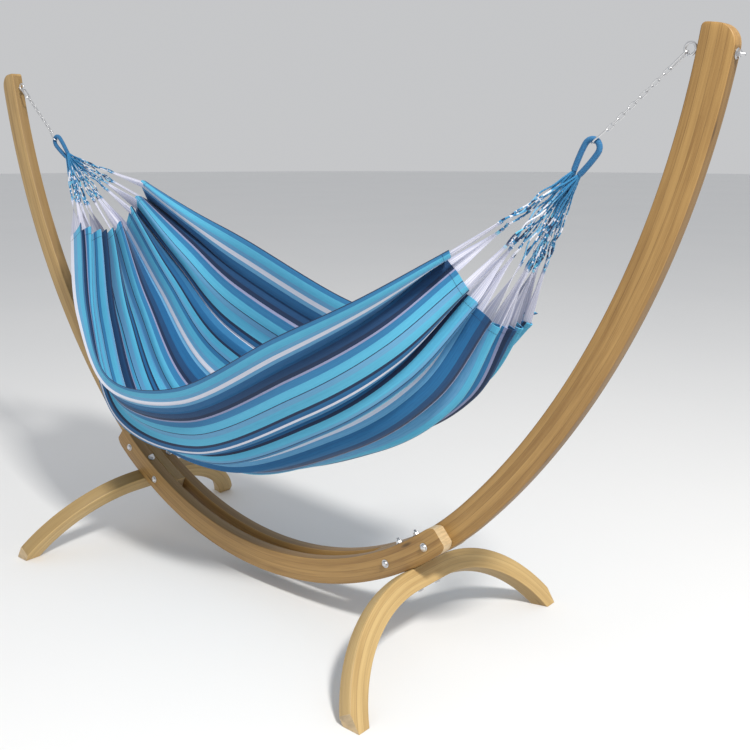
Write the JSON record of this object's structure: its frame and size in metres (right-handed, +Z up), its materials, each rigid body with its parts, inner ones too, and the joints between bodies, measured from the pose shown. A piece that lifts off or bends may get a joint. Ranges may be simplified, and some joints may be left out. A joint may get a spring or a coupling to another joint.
{
  "type": "hammock on stand",
  "caption": "Arc-shaped laminated wooden stand on arched feet, with a striped cloth hammock hung from its arms by chains, hooks and fans of cord.",
  "frame": {"origin": "on the floor, midway between the two feet and midway across the stand", "axes": "+X along the stand from the left arm to the right arm, +Y from the front to the rear, +Z up"},
  "size_m": [3.1264, 1.01, 1.8075],
  "materials": {
    "larch": "oiled laminated larch, satin",
    "steel": "zinc-plated, satin",
    "woven_cloth": "striped woven cotton, matt",
    "whipping": "tightly wound cotton yarn, matt",
    "cord": "twisted cotton cord, matt"
  },
  "bodies": {
    "stand": {"arm_left": "larch", "arm_right": "larch", "middle_beam_front": "larch", "middle_beam_rear": "larch", "foot_left": "larch", "foot_right": "larch", "joint_bolt_left_1": "steel", "joint_nut_left_1": "steel", "joint_bolt_left_2": "steel", "joint_nut_left_2": "steel", "foot_bolt_left_front": "steel", "foot_nut_left_front": "steel", "foot_bolt_left_rear": "steel", "foot_nut_left_rear": "steel", "eye_bolt_left": "steel", "eye_nut_left": "steel", "joint_bolt_right_1": "steel", "joint_nut_right_1": "steel", "joint_bolt_right_2": "steel", "joint_nut_right_2": "steel", "foot_bolt_right_front": "steel", "foot_nut_right_front": "steel", "foot_bolt_right_rear": "steel", "foot_nut_right_rear": "steel", "eye_bolt_right": "steel", "eye_nut_right": "steel"},
    "chain_right": {"long_link_right": "steel", "chain_link_right_01": "steel", "chain_link_right_02": "steel", "chain_link_right_03": "steel", "chain_link_right_04": "steel", "chain_link_right_05": "steel", "chain_link_right_06": "steel", "chain_link_right_07": "steel", "chain_link_right_08": "steel", "chain_link_right_09": "steel", "chain_link_right_10": "steel", "chain_link_right_11": "steel", "s_hook_right": "steel"},
    "chain_left": {"long_link_left": "steel", "chain_link_left_01": "steel", "chain_link_left_02": "steel", "chain_link_left_03": "steel", "chain_link_left_04": "steel", "chain_link_left_05": "steel", "chain_link_left_06": "steel", "chain_link_left_07": "steel", "chain_link_left_08": "steel", "chain_link_left_09": "steel", "chain_link_left_10": "steel", "chain_link_left_11": "steel", "s_hook_left": "steel"},
    "hammock": {"rope_loop_left": "whipping", "rope_loop_right": "whipping", "suspension_cords_left": "cord", "suspension_cords_right": "cord", "hammock_cloth": "woven_cloth"}
  },
  "joints": [
    {"name": "chain_right_swing", "type": "hinge", "parent": "stand", "child": "chain_right", "pos_m": [1.42598, 0, 1.74419], "axis": [1, 0, 0], "range_deg": [-25, 25]},
    {"name": "chain_left_swing", "type": "hinge", "parent": "stand", "child": "chain_left", "pos_m": [-1.42598, 0, 1.74419], "axis": [1, 0, 0], "range_deg": [-25, 25]},
    {"name": "hammock_roll", "type": "hinge", "parent": "chain_right", "child": "hammock", "pos_m": [1.212, 0, 1.55], "axis": [1, 0, 0], "range_deg": [-20, 20]}
  ],
  "couplings": [
    {"joint": "chain_left_swing", "follows": "chain_right_swing", "ratio": 1}
  ]
}
